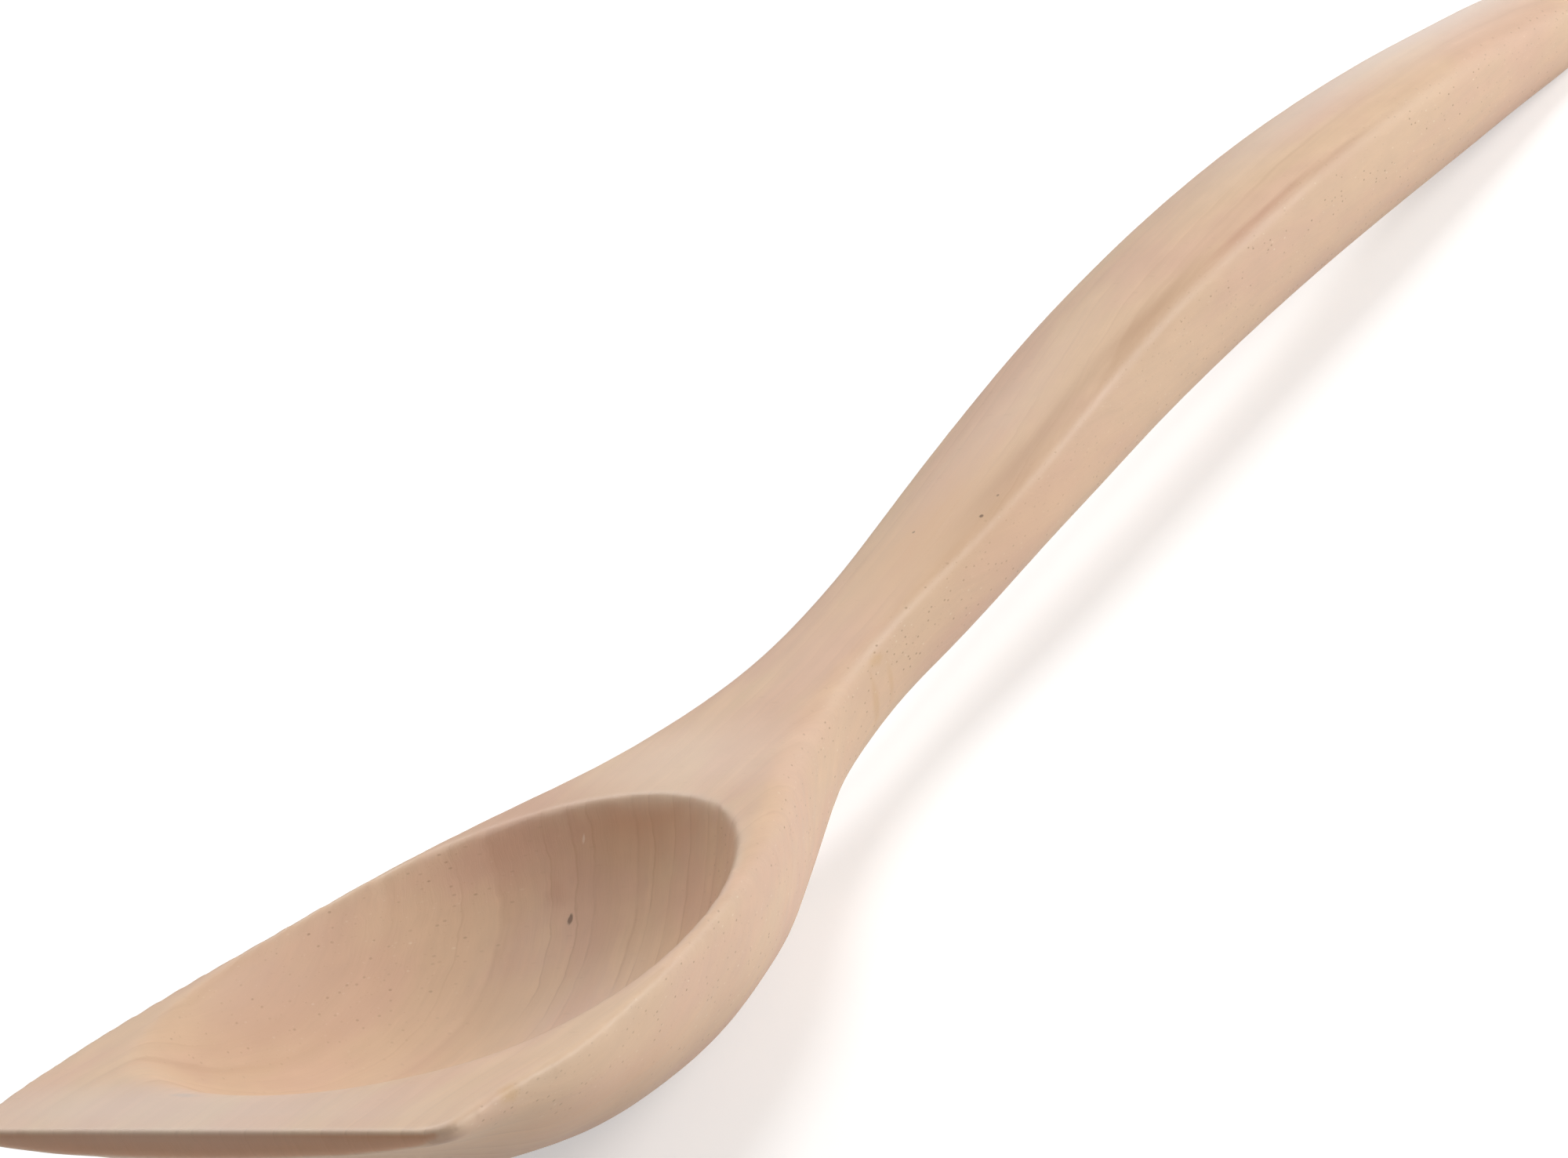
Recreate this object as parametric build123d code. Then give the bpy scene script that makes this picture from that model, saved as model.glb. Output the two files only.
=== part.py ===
from build123d import *
import math
import os

# A wooden cooking spoon with a straight front edge, a deep egg-shaped hollow and a handle that
# arches up from the bowl. The real spoon is carved from one length of wood, so nothing here is
# joined or fastened. The three solids are the bowl, the neck and the handle of that one piece,
# and they meet face to face on two flat planes across the grain.
#
# All sizes are in millimetres. The spoon is shaped in its own lie first: X runs from the front
# edge to the end of the handle, Y goes to the left, and Z goes up from the plane of the rim.
# The finished spoon is then laid on a table, on the foot of its bowl and the heel of its handle.

# Lengths of the three zones, measured along the plane of the rim
BOWL_LENGTH = 102.0
NECK_LENGTH = 50.0
HANDLE_LENGTH = 155.0

# Bowl. Its front edge is lifted a little above the plane of the rim.
FRONT_EDGE_WIDTH = 63.0
FRONT_EDGE_HEIGHT = 3.0
FRONT_CORNER_ROUNDING = 3.6
FRONT_LIFT = 1.0
BOWL_WIDTH = 65.8
BOWL_HEIGHT = 22.4
RIM_DIP = 0.3

# Hollow of the bowl. Its edge is softened a little all round and more at the front, and the
# cutter runs out over the rim with a small clearance.
FRONT_LAND = 10.4
HOLLOW_LENGTH = 68.8
HOLLOW_WIDTH = 55.4
HOLLOW_DEPTH = 16.6
HOLLOW_SETBACK = 4.0
EDGE_SOFTNESS = 1.2
FRONT_SOFTNESS = 2.8
RIM_CLEARANCE = 0.5
HOLLOW_OVERRUN = 6.0

# Neck and handle
NECK_WIDTH = 14.75
NECK_THICKNESS = 11.4
HANDLE_WIDTH = 21.0
HANDLE_THICKNESS = 14.15
HANDLE_END_ROUNDING = 9.0
ARCH_RISE = 18.6
CROWN_RISE = 2.1

# Softened ridge between the top face and the sides: crisp round the front of the rim, wide at
# the shoulder behind the hollow, narrower over the neck and wide again at the end of the handle
RIM_ROUNDING = 0.9
SHOULDER_ROUNDING = 3.4
RIDGE_ROUNDING = 1.9
GRIP_ROUNDING = 4.6

# The flats that rubbing on a table has left under the bowl and under the handle's heel
FOOT_RUB = 0.35

# How full the underside is in cross-section, and the hollow in plan: 2 is an ellipse, and more
# is squarer
BELLY_FULLNESS = 2.08
HANDLE_FULLNESS = 2.4
HOLLOW_FULLNESS = 2.17

# How finely the outlines are followed
UNDERSIDE_POINTS = 13
BOWL_STATIONS = 14
NECK_STATIONS = 5
HANDLE_STATIONS = 10
END_STATIONS = 6
FOOT_TRIALS = 200
LAST_END_ANGLE = 86.0
HOLLOW_STATIONS = 64
HOLLOW_POINTS = 55

# Half width along each zone: share of the zone's length, share of half the zone's width.
# The front edge has its own width, and the outline still widens a little behind it.
BOWL_PLAN_SHARES = (
    (0.04, 0.962), (0.07, 0.968), (0.12, 0.982), (0.2, 1.0), (0.27, 0.983), (0.36, 0.948),
    (0.46, 0.887), (0.56, 0.818), (0.66, 0.717), (0.755, 0.594), (0.855, 0.446), (0.925, 0.366),
)
NECK_PLAN_SHARES = ((0.0, 1.319), (0.2, 1.061), (0.4, 1.0), (0.6, 1.058), (0.8, 1.165))
HANDLE_PLAN_SHARES = (
    (0.0, 0.877), (0.1, 0.909), (0.2, 0.928), (0.32, 0.958), (0.45, 0.99), (0.58, 0.997),
    (0.72, 0.953), (0.86, 0.889), (0.94, 0.86), (1.0, 0.85),
)

# How far the rounded front corner draws the outline in: share of the rounding behind the edge,
# share of the rounding inwards
CORNER_SHARES = ((0.0, 0.95), (0.1, 0.6), (0.25, 0.34), (0.5, 0.13), (0.75, 0.04), (1.0, 0.0))

# Height of the ridge, the edge between the top face and the side: the front of the bowl is lifted
# a little, the rim dips beside the hollow, then the line climbs over the neck into the arch
FRONT_LIFT_SHARES = ((0.0, 1.0), (0.04, 1.0), (0.07, 0.95), (0.12, 0.68), (0.16, 0.33), (0.2, 0.09))
RIM_LINE_SHARES = ((0.27, -0.35), (0.36, -0.9), (0.46, -1.0), (0.56, -0.3))
BOWL_RISE_SHARES = ((0.66, 0.0156), (0.755, 0.032), (0.855, 0.0473), (0.925, 0.061))
NECK_RISE_SHARES = ((0.0, 0.081), (0.2, 0.122), (0.4, 0.181), (0.6, 0.255), (0.8, 0.345))
HANDLE_RISE_SHARES = (
    (0.0, 0.447), (0.1, 0.615), (0.2, 0.763), (0.32, 0.887), (0.45, 0.967), (0.58, 0.998),
    (0.72, 0.977), (0.86, 0.899), (0.94, 0.829), (1.0, 0.769),
)

# Thickness below the ridge, down to the lowest point of the underside
BOWL_DEPTH_SHARES = (
    (0.02, 0.184), (0.04, 0.251), (0.07, 0.335), (0.12, 0.464), (0.2, 0.645), (0.27, 0.76),
    (0.36, 0.876), (0.46, 0.952), (0.56, 0.995), (0.66, 1.0), (0.755, 0.985), (0.855, 0.902),
    (0.925, 0.779),
)
NECK_DEPTH_SHARES = ((0.0, 1.253), (0.2, 1.082), (0.4, 1.001), (0.6, 1.004), (0.8, 1.013))
HANDLE_DEPTH_SHARES = (
    (0.0, 0.832), (0.1, 0.91), (0.2, 0.964), (0.32, 0.996), (0.45, 1.0), (0.58, 0.98),
    (0.72, 0.915), (0.86, 0.769), (0.94, 0.64), (1.0, 0.53),
)

# Crown of the top face, which is flat over the bowl and bulges gently along the handle
NECK_CROWN_SHARES = ((0.0, 0.17), (0.4, 0.32), (0.8, 0.53))
HANDLE_CROWN_SHARES = ((0.1, 0.77), (0.32, 0.92), (0.45, 1.0), (1.0, 0.94))

# Where the outline is drawn across the spoon just behind its front edge, and where along the
# bowl the even spacing of the outlines begins
FRONT_STATION_SHARES = (0.0, 0.003, 0.0075, 0.015, 0.027, 0.045, 0.075, 0.12)
EVEN_START_SHARE = 0.17

# Where along the bowl its crisp rim ends, its belly ends and its shoulder stands, and where
# along the neck the spoon is slimmest
CRISP_RIM_SHARE = 0.43
BELLY_BACK_SHARE = 0.706
SHOULDER_SHARE = 0.853
SLIMMEST_SHARE = 0.5

# How much wider the hollow's egg is at its front than at its middle, and how quickly the wide
# softness of its front edge narrows towards the back
HOLLOW_LEAN_SHARE = 0.155
SOFTNESS_NARROWING = 3

# Height of the point that the rounded handle end closes on, as a share of the thickness
END_POINT_SHARE = 0.45

BOWL_END = BOWL_LENGTH
NECK_END = BOWL_END + NECK_LENGTH
SPOON_END = NECK_END + HANDLE_LENGTH
HEEL_PLACE = SPOON_END - HANDLE_END_ROUNDING


def spread(shares, start, length, size):
    """Places and values in millimetres from a table of shares."""
    return [(start + place * length, share * size) for place, share in shares]


def ease_along(points, place):
    """Value at a place on the smooth line through the points, flat beyond the first and last."""
    if place <= points[0][0]:
        return points[0][1]
    if place >= points[-1][0]:
        return points[-1][1]
    last = len(points) - 1
    right = next(i for i in range(1, last + 1) if place <= points[i][0])
    slopes = []
    for i in (right - 1, right):
        before = points[max(i - 1, 0)]
        after = points[min(i + 1, last)]
        slopes.append((after[1] - before[1]) / (after[0] - before[0]))
    x0, v0 = points[right - 1]
    x1, v1 = points[right]
    span = x1 - x0
    t = (place - x0) / span
    rise = v0 * (1 + 2 * t) * (1 - t) ** 2 + v1 * t ** 2 * (3 - 2 * t)
    return rise + span * (slopes[0] * t * (1 - t) ** 2 - slopes[1] * t ** 2 * (1 - t))


HALF_WIDTH_LINE = (
    [(0, FRONT_EDGE_WIDTH / 2)]
    + spread(BOWL_PLAN_SHARES, 0, BOWL_LENGTH, BOWL_WIDTH / 2)
    + spread(NECK_PLAN_SHARES, BOWL_END, NECK_LENGTH, NECK_WIDTH / 2)
    + spread(HANDLE_PLAN_SHARES, NECK_END, HANDLE_LENGTH, HANDLE_WIDTH / 2)
)
RIDGE_LINE = (
    spread(FRONT_LIFT_SHARES, 0, BOWL_LENGTH, FRONT_LIFT)
    + spread(RIM_LINE_SHARES, 0, BOWL_LENGTH, RIM_DIP)
    + spread(BOWL_RISE_SHARES, 0, BOWL_LENGTH, ARCH_RISE)
    + spread(NECK_RISE_SHARES, BOWL_END, NECK_LENGTH, ARCH_RISE)
    + spread(HANDLE_RISE_SHARES, NECK_END, HANDLE_LENGTH, ARCH_RISE)
)
DEPTH_LINE = (
    [(0, FRONT_EDGE_HEIGHT)]
    + spread(BOWL_DEPTH_SHARES, 0, BOWL_LENGTH, BOWL_HEIGHT)
    + spread(NECK_DEPTH_SHARES, BOWL_END, NECK_LENGTH, NECK_THICKNESS)
    + spread(HANDLE_DEPTH_SHARES, NECK_END, HANDLE_LENGTH, HANDLE_THICKNESS)
)
CROWN_LINE = (
    [(HOLLOW_LENGTH + FRONT_LAND, 0)]
    + spread(NECK_CROWN_SHARES, BOWL_END, NECK_LENGTH, CROWN_RISE)
    + spread(HANDLE_CROWN_SHARES, NECK_END, HANDLE_LENGTH, CROWN_RISE)
)
FULLNESS_LINE = [
    (BOWL_LENGTH * BELLY_BACK_SHARE, BELLY_FULLNESS),
    (BOWL_END + NECK_LENGTH * SLIMMEST_SHARE, HANDLE_FULLNESS),
]
ROUNDING_LINE = [
    (0, RIM_ROUNDING),
    (BOWL_LENGTH * CRISP_RIM_SHARE, RIM_ROUNDING),
    (BOWL_LENGTH * SHOULDER_SHARE, SHOULDER_ROUNDING),
    (BOWL_END + NECK_LENGTH * SLIMMEST_SHARE, RIDGE_ROUNDING),
    (SPOON_END, GRIP_ROUNDING),
]
CORNER_LINE = [
    (back * FRONT_CORNER_ROUNDING, inset * FRONT_CORNER_ROUNDING) for back, inset in CORNER_SHARES
]


def cross_section(place, size=1.0):
    """Closed outline across the spoon at one place, drawn in to a share of its size."""
    full_depth = ease_along(DEPTH_LINE, place)
    half = (ease_along(HALF_WIDTH_LINE, place) - ease_along(CORNER_LINE, place)) * size
    depth = full_depth * size
    ridge = ease_along(RIDGE_LINE, place) - (1 - size) * full_depth * END_POINT_SHARE
    crown = ease_along(CROWN_LINE, place) * size
    rounding = ease_along(ROUNDING_LINE, place) * size
    power = 2 / ease_along(FULLNESS_LINE, place)

    # The crowned top face slopes down to the ridge, and an arc joins that slope to the wall.
    slope = math.atan(2 * crown / half)
    wall = ridge - rounding * (1 - math.sin(slope)) / math.cos(slope)
    middle = half - rounding
    halfway = (math.pi / 2 - slope) / 2
    side = middle + rounding * math.sin(slope)
    edge = wall + rounding * math.cos(slope)
    arc_side = middle + rounding * math.cos(halfway)
    arc_top = wall + rounding * math.sin(halfway)
    peak = edge + side * math.tan(slope)
    top_face = Bezier((place, -side, edge), (place, 0, peak), (place, side, edge))
    left_ridge = ThreePointArc((place, side, edge), (place, arc_side, arc_top), (place, half, wall))
    right_ridge = ThreePointArc((place, -half, wall), (place, -arc_side, arc_top), (place, -side, edge))
    underside_points = []
    for i in range(UNDERSIDE_POINTS):
        angle = math.pi * i / (UNDERSIDE_POINTS - 1)
        across = math.copysign(abs(math.cos(angle)) ** power, math.cos(angle))
        down = abs(math.sin(angle)) ** power
        underside_points.append((place, half * across, wall - (depth - ridge + wall) * down))
    underside = Spline(underside_points)
    return Wire([top_face, left_ridge, underside, right_ridge])


def evenly(start, end, count):
    """Places from the start to just before the end."""
    return [start + (end - start) * i / count for i in range(count)]


def make_blank():
    """The whole outside of the spoon, from the straight front edge to the rounded handle end."""
    places = [share * BOWL_LENGTH for share in FRONT_STATION_SHARES]
    places += evenly(BOWL_LENGTH * EVEN_START_SHARE, BOWL_END, BOWL_STATIONS)
    places += evenly(BOWL_END, NECK_END, NECK_STATIONS)
    places += evenly(NECK_END, HEEL_PLACE, HANDLE_STATIONS)
    outlines = [cross_section(place) for place in places]
    for i in range(END_STATIONS + 1):
        angle = math.radians(LAST_END_ANGLE * i / END_STATIONS)
        place = HEEL_PLACE + HANDLE_END_ROUNDING * math.sin(angle)
        outlines.append(cross_section(place, math.cos(angle)))
    return Solid.make_loft(outlines)


def hollow_height(place, across):
    """Height of the hollow's surface at one point, which passes above the rim beyond its edge."""
    half_length = HOLLOW_LENGTH / 2
    half_width = HOLLOW_WIDTH / 2
    back = (place - FRONT_LAND) / half_length - 1
    aside = abs(across) / half_width / (1 - HOLLOW_LEAN_SHARE * back)
    reach = (abs(back) ** HOLLOW_FULLNESS + aside ** HOLLOW_FULLNESS) ** (1 / HOLLOW_FULLNESS)

    # A round bottom inside the edge, and a straight slope beyond it
    radius = (half_width ** 2 + HOLLOW_DEPTH ** 2) / (2 * HOLLOW_DEPTH)
    to_centre = radius - HOLLOW_DEPTH
    if reach < 1:
        floor = to_centre - math.sqrt(radius ** 2 - (half_width * reach) ** 2)
    else:
        floor = half_width ** 2 / to_centre * (reach - 1)
    floor *= 1 + 2 * HOLLOW_SETBACK / half_length * back

    # The soft edge joins that bottom to a level just above the rim.
    forward = (1 - back) / 2
    softness = EDGE_SOFTNESS + (FRONT_SOFTNESS - EDGE_SOFTNESS) * forward ** SOFTNESS_NARROWING
    bend = math.hypot(floor - RIM_CLEARANCE, softness)
    return ease_along(RIDGE_LINE, place) + (floor + RIM_CLEARANCE - bend) / 2


def hollow_section(place):
    """Closed outline across the hollow at one place: its surface below, and straight up above."""
    side = HOLLOW_WIDTH / 2 + HOLLOW_OVERRUN
    steps = range(HOLLOW_POINTS + 1)
    acrosses = [side * (2 * i / HOLLOW_POINTS - 1) for i in steps]
    points = [(place, across, hollow_height(place, across)) for across in acrosses]
    floor = Edge.make_spline(
        [Vector(*point) for point in points], parameters=[i / HOLLOW_POINTS for i in steps]
    )
    top_right = (place, -side, HOLLOW_DEPTH)
    top_left = (place, side, HOLLOW_DEPTH)
    left = Line(points[-1], top_left)
    right = Line(top_right, points[0])
    return Wire([floor, left, Line(top_left, top_right), right])


def make_hollow():
    """The space scooped out of the bowl, with a straight way up out of it."""
    start = FRONT_LAND - HOLLOW_OVERRUN
    end = FRONT_LAND + HOLLOW_LENGTH + HOLLOW_OVERRUN
    places = evenly(start, end, HOLLOW_STATIONS) + [end]
    return Solid.make_loft([hollow_section(place) for place in places])


def underside_height(place):
    """Height of the lowest point of the section at one place, in the spoon's own lie."""
    return ease_along(RIDGE_LINE, place) - ease_along(DEPTH_LINE, place)


def lay_down(shape):
    """Tip the spoon back until foot and heel touch one level, which becomes height zero."""
    heel = underside_height(HEEL_PLACE)
    slopes = [
        (heel - underside_height(place)) / (HEEL_PLACE - place)
        for place in evenly(0, BOWL_END, FOOT_TRIALS)
    ]
    pitch = math.atan(max(slopes))
    level = heel * math.cos(pitch) - HEEL_PLACE * math.sin(pitch)
    return Pos(0, 0, -level - FOOT_RUB) * Rot(0, math.degrees(pitch), 0) * shape


def rub_flat(shape):
    """Take away what lies below height zero, which leaves a flat foot and a flat on the heel."""
    below = Box(
        2 * SPOON_END, 2 * BOWL_WIDTH, BOWL_HEIGHT, align=(Align.CENTER, Align.CENTER, Align.MAX)
    )
    return shape - below


def cut_into_zones(shape):
    """Bowl, neck and handle, cut across the grain by two planes square to the rim."""
    bowl = split(shape, bisect_by=Plane.YZ.offset(BOWL_END), keep=Keep.BOTTOM)
    rest = split(shape, bisect_by=Plane.YZ.offset(BOWL_END), keep=Keep.TOP)
    neck = split(rest, bisect_by=Plane.YZ.offset(NECK_END), keep=Keep.BOTTOM)
    handle = split(rest, bisect_by=Plane.YZ.offset(NECK_END), keep=Keep.TOP)
    return {"bowl": bowl, "neck": neck, "handle": handle}


def main():
    os.makedirs("parts", exist_ok=True)
    spoon = make_blank() - make_hollow()
    zones = {name: rub_flat(lay_down(zone)) for name, zone in cut_into_zones(spoon).items()}
    box = Compound([zone.solid() for zone in zones.values()]).bounding_box()
    to_origin = Pos(-box.center().X, -box.center().Y, -box.min.Z)
    for name, zone in zones.items():
        placed = to_origin * zone.solid()
        print(name, round(placed.volume), placed.bounding_box())
        export_step(placed, f"parts/{name}.step")


main()
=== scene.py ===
# %% [markdown]
# A wooden cooking spoon, dressed in Blender
#
# The spoon is one carved length of pale wood: a deep bowl with a straight front edge, a slim neck
# and a handle that arches up and comes down again. Its shape arrives here as a frame of three named
# zones. This lesson gives it what sandpaper and the wood itself give it: edges softened by hand,
# growth rings that run through the whole block, short ray flecks, the small marks of use, and soft
# studio light. Every length is in metres, and every piece lies where its zone lies.

# %% Load the frame and note its box
import math

import bmesh
import bpy
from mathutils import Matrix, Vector


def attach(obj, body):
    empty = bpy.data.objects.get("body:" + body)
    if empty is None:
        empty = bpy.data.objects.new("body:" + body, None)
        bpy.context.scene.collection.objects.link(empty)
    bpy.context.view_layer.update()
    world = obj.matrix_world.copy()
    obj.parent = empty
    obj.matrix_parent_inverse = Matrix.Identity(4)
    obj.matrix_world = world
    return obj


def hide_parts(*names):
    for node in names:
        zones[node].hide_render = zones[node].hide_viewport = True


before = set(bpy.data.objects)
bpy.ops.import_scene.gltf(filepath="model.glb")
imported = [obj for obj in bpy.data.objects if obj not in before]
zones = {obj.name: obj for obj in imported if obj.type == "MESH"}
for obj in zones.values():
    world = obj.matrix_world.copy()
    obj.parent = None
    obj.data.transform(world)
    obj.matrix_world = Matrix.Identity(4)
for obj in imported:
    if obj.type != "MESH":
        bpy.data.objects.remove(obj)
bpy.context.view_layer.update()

print("zones:", sorted(zones))

# %% [markdown]
# The camera. The picture was taken with a long lens from in front of the bowl, to its right and
# above it, and the camera was rolled so that the spoon climbs across the frame. A long lens keeps
# the near bowl and the far handle at almost one scale. How long it was can't be read from one
# picture: lenses from two thirds of this length to nearly twice it fitted the outline about as well,
# with a rounder hollow or a longer one, so this length is a choice among them. The place and the
# turns came from laying the spoon's outline over the picture. A camera is a thing that somebody
# puts somewhere, so they are written as plain numbers and not worked out from the spoon.

# %% Put the camera in its place
CAMERA_PLACE = (-0.52461, -0.40506, 0.28405)
CAMERA_TURNS = (66.5116, 19.5135, -58.3745)
LENS_MM = 142.807
SENSOR_MM = 36.0
NEAREST_SEEN = 0.01

lens = bpy.data.cameras.new("camera")
lens.lens = LENS_MM
lens.sensor_width = SENSOR_MM
lens.clip_start = NEAREST_SEEN
camera = bpy.data.objects.new("camera", lens)
camera.location = CAMERA_PLACE
camera.rotation_euler = [math.radians(turn) for turn in CAMERA_TURNS]
bpy.context.scene.collection.objects.link(camera)
bpy.context.scene.camera = camera
print("camera stands", round(camera.location.length, 3), "m from the middle of the spoon")

# %% [markdown]
# The blank. The three zones meet face to face, and on the real spoon there is nothing between them,
# because they are one length of wood. To soften the whole surface evenly, the zones are first put
# back together: their copies lose the flat faces where they meet, and the open rims are merged. The
# blank leans a few degrees, because the spoon rests on its belly and the end of its handle, and the
# meeting faces lean with it, so they are found by how far they reach along the lean.

# %% Put the three zones together again
LEAN = math.radians(7.182)
MERGE_WITHIN = 2e-5
MEETING_DEPTH = 5e-6

along = Vector((math.cos(LEAN), 0.0, -math.sin(LEAN)))
neck_reach = [along.dot(vertex.co) for vertex in zones["neck"].data.vertices]
meetings = (min(neck_reach), max(neck_reach))


def on_meeting(face):
    """Whether a face lies flat in one of the two meeting planes."""
    reach = [along.dot(vertex.co) for vertex in face.verts]
    return any(max(abs(value - meeting) for value in reach) < MEETING_DEPTH for meeting in meetings)


blank = bmesh.new()
for zone in ("bowl", "neck", "handle"):
    blank.from_mesh(zones[zone].data)
inner_faces = [face for face in blank.faces if on_meeting(face)]
bmesh.ops.delete(blank, geom=inner_faces, context="FACES")
bmesh.ops.remove_doubles(blank, verts=blank.verts, dist=MERGE_WITHIN)
print("meeting faces taken out:", len(inner_faces))
print("open edges left:", sum(not edge.is_manifold for edge in blank.edges))

# %% [markdown]
# The sanded skin. A cutter leaves crisp ridges and sandpaper takes them off. A bevel could round
# them, but where the rim thins out and the ridges fade, bevels run into each other. A voxel remesh
# wraps the blank in a fine even net instead, and relaxing that net a few times rounds every edge by
# the same small amount, as a sanding pad does. The net alone would leave little steps along the
# thin rim, so it's first drawn back onto the blank's true surface with a shrinkwrap.

# %% Wrap the blank in a fine net and relax it
NET_SIZE = 0.00048
SANDING_PASSES = 3
SANDING_PRESSURE = 0.5

blank_mesh = bpy.data.meshes.new("blank")
blank.to_mesh(blank_mesh)
blank.free()
true_surface = bpy.data.objects.new("true_surface", blank_mesh)
blank_object = bpy.data.objects.new("blank", blank_mesh)
for item in (true_surface, blank_object):
    bpy.context.scene.collection.objects.link(item)
net = blank_object.modifiers.new("net", "REMESH")
net.mode = "VOXEL"
net.voxel_size = NET_SIZE
draw_back = blank_object.modifiers.new("draw_back", "SHRINKWRAP")
draw_back.target = true_surface
looked_at = blank_object.evaluated_get(bpy.context.evaluated_depsgraph_get())
netted = bpy.data.meshes.new_from_object(looked_at)
for item in (true_surface, blank_object):
    bpy.data.objects.remove(item)

skin = bmesh.new()
skin.from_mesh(netted)
for _ in range(SANDING_PASSES):
    bmesh.ops.smooth_vert(
        skin,
        verts=skin.verts,
        factor=SANDING_PRESSURE,
        use_axis_x=True,
        use_axis_y=True,
        use_axis_z=True,
    )
print("skin:", len(skin.verts), "points,", len(skin.faces), "faces")

# %% [markdown]
# Where sandpaper and hands wear the wood. Edges that stand out are rubbed smoother than the faces
# beside them. Their tone is partly rubbed wear and partly painted light: a painted highlight along
# the bowl's rim and painted shade along the handle's ridges. How far each point of the skin stands
# out from its neighbours is measured here and kept on the mesh under the name "worn", where the
# finish can read it. The values are spread over the neighbours a few times, because wear has no
# sharp border.

# %% Measure the worn edges
WORN_FROM = 0.020
WORN_FULL = 0.100
WORN_SPREADS = 5

skin.normal_update()
skin.verts.index_update()
worn = []
for vertex in skin.verts:
    around = [edge.other_vert(vertex).co for edge in vertex.link_edges]
    middle_point = sum(around, Vector()) / len(around)
    standing_out = (vertex.co - middle_point).dot(vertex.normal) / NET_SIZE
    worn.append(min(max((standing_out - WORN_FROM) / (WORN_FULL - WORN_FROM), 0.0), 1.0))
links = [[edge.other_vert(vertex).index for edge in vertex.link_edges] for vertex in skin.verts]
for _ in range(WORN_SPREADS):
    worn = [(worn[i] + sum(worn[j] for j in near)) / (1 + len(near)) for i, near in enumerate(links)]
worn_layer = skin.verts.layers.float.new("worn")
for vertex, value in zip(skin.verts, worn):
    vertex[worn_layer] = value
print("most worn:", round(max(worn), 2), "mean:", round(sum(worn) / len(worn), 3))

# %% [markdown]
# Cutting the skin back into its zones. The frame keeps the bowl, the neck and the handle apart, and
# so does the finished spoon: each piece stands for its own zone and can be picked by name. The skin
# is cut at the meeting planes with the bisect tool, and each cut is closed with one flat face. The
# edges round a cut are marked sharp, so that the shading runs on across it and no seam shows.

# %% Cut the skin at the meeting planes
CUT_PRECISION = 1e-7


def close_cut(piece):
    """Cap the open rims of a cut piece, with a sharp edge all round."""
    rim = [edge for edge in piece.edges if edge.is_boundary]
    bmesh.ops.holes_fill(piece, edges=rim, sides=0)
    for edge in rim:
        edge.smooth = False


def skin_between(start, end):
    """The part of the skin between two reaches along the lean, or to the end where one is None."""
    piece = skin.copy()
    for reach, beyond in ((start, False), (end, True)):
        if reach is not None:
            bmesh.ops.bisect_plane(
                piece,
                geom=list(piece.verts) + list(piece.edges) + list(piece.faces),
                dist=CUT_PRECISION,
                plane_co=along * reach,
                plane_no=along,
                clear_outer=beyond,
                clear_inner=not beyond,
            )
    close_cut(piece)
    for face in piece.faces:
        face.smooth = True
    return piece


def carved_piece(zone, start, end):
    """A finished object for one zone, riding the spoon's only body in that zone's place."""
    form = skin_between(start, end)
    mesh = bpy.data.meshes.new(zone + "_wood")
    form.to_mesh(mesh)
    form.free()
    piece = bpy.data.objects.new(zone + "_wood", mesh)
    bpy.context.scene.collection.objects.link(piece)
    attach(piece, "root")
    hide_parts(zone)
    print(zone, "piece:", len(mesh.polygons), "faces")
    return piece


pieces = {
    "bowl": carved_piece("bowl", None, meetings[0]),
    "neck": carved_piece("neck", meetings[0], meetings[1]),
    "handle": carved_piece("handle", meetings[1], None),
}
skin.free()

# %% [markdown]
# Building with nodes. A finish is a tree of nodes, and each node is made, set and fed in the same
# way, so one small helper does it for all of them. An effect that several finishes share is a node
# group: a little tree with named inputs and outputs, built once and placed in each finish.

# %% Helpers that place nodes and open groups
def place(tree, kind, feeds=None, **settings):
    """Put a node in a tree, set it, and feed its sockets with values or other nodes' outputs."""
    node = tree.nodes.new(kind)
    for name, value in settings.items():
        setattr(node, name, value)
    for socket, value in (feeds or {}).items():
        if isinstance(value, bpy.types.NodeSocket):
            tree.links.new(value, node.inputs[socket])
        else:
            node.inputs[socket].default_value = value
    return node


def reckon(tree, operation, first, second=0.0, third=0.0):
    """The outcome of one sum on values or sockets."""
    feeds = {0: first, 1: second, 2: third}
    return place(tree, "ShaderNodeMath", feeds, operation=operation).outputs[0]


def fade(tree, value, start, end, low=0.0, high=1.0):
    """A value that eases from low to high while the fed value goes from start to end."""
    feeds = {"Value": value, "From Min": start, "From Max": end, "To Min": low, "To Max": high}
    return place(tree, "ShaderNodeMapRange", feeds, interpolation_type="SMOOTHSTEP").outputs[0]


def noise(tree, vector, scale, detail=2.0, roughness=0.5):
    """A plain cloud of noise."""
    feeds = {"Vector": vector, "Scale": scale, "Detail": detail, "Roughness": roughness}
    return place(tree, "ShaderNodeTexNoise", feeds).outputs["Fac"]


def tint(tree, amount, under, over):
    """One colour laid over another by an amount from 0 to 1."""
    feeds = {"Factor": amount, "A": under, "B": over}
    node = place(tree, "ShaderNodeMix", data_type="RGBA")
    for name, value in feeds.items():
        socket = [item for item in node.inputs if item.name == name and item.enabled][0]
        if isinstance(value, bpy.types.NodeSocket):
            tree.links.new(value, socket)
        else:
            socket.default_value = value
    return [item for item in node.outputs if item.enabled][0]


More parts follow.
